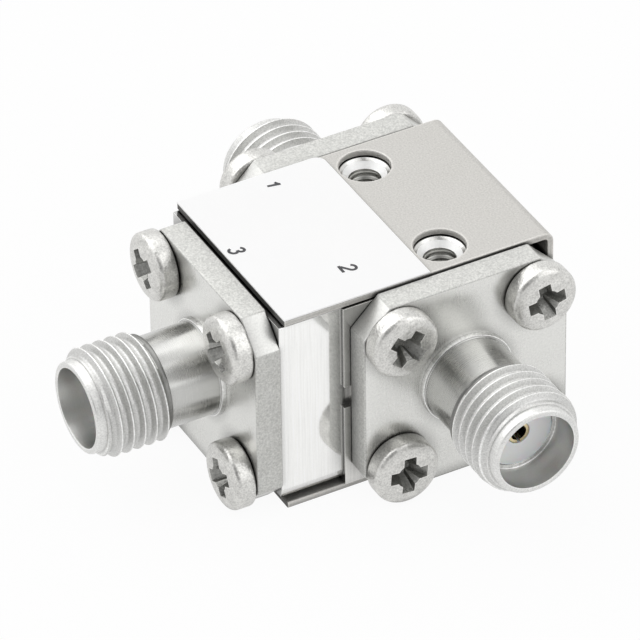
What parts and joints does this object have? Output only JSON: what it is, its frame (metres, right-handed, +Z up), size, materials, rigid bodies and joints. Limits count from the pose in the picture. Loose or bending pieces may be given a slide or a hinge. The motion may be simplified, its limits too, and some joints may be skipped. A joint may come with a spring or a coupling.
{
  "type": "rf circulator",
  "caption": "Coaxial microwave circulator: small metal housing in a folded steel yoke, with flanged threaded jacks set in a T and tapped mounting holes on top.",
  "frame": {"origin": "on the base, under the point where the port axes cross", "axes": "+X out of port 2, -X out of port 1, -Y out of port 3, +Z up from the base to the labelled face"},
  "size_m": [0.0314, 0.0263, 0.0129],
  "materials": {
    "plated_housing": "satin nickel plate",
    "bright_block": "bright, brushed upright",
    "yoke_steel": "dull nickel-plated sheet",
    "label_film": "white film with dark digits",
    "jack_steel": "fine turned and milled",
    "screw_steel": "dull tumbled",
    "white_insulator": "waxy white",
    "gold_contact": "gold plate",
    "ferrite": "ground black",
    "spacer_ceramic": "plain",
    "silver_brass": "silver plate",
    "magnet": "ground",
    "pole_steel": "ground"
  },
  "bodies": {
    "root": {"housing": "plated_housing", "port_3_block": "bright_block", "yoke": "yoke_steel", "label": "label_film", "port_1_shell": "jack_steel", "port_1_insulator": "white_insulator", "port_1_contact": "gold_contact", "port_1_screws": "screw_steel", "port_2_shell": "jack_steel", "port_2_insulator": "white_insulator", "port_2_contact": "gold_contact", "port_2_screws": "screw_steel", "port_3_shell": "jack_steel", "port_3_insulator": "white_insulator", "port_3_contact": "gold_contact", "port_3_screws": "screw_steel", "centre_conductor": "gold_contact", "upper_ferrite": "ferrite", "upper_spacer_ring": "spacer_ceramic", "upper_ground_plate": "silver_brass", "upper_magnet": "magnet", "upper_pole_piece": "pole_steel", "lower_ferrite": "ferrite", "lower_spacer_ring": "spacer_ceramic", "lower_ground_plate": "silver_brass", "lower_magnet": "magnet", "lower_pole_piece": "pole_steel"}
  },
  "joints": []
}
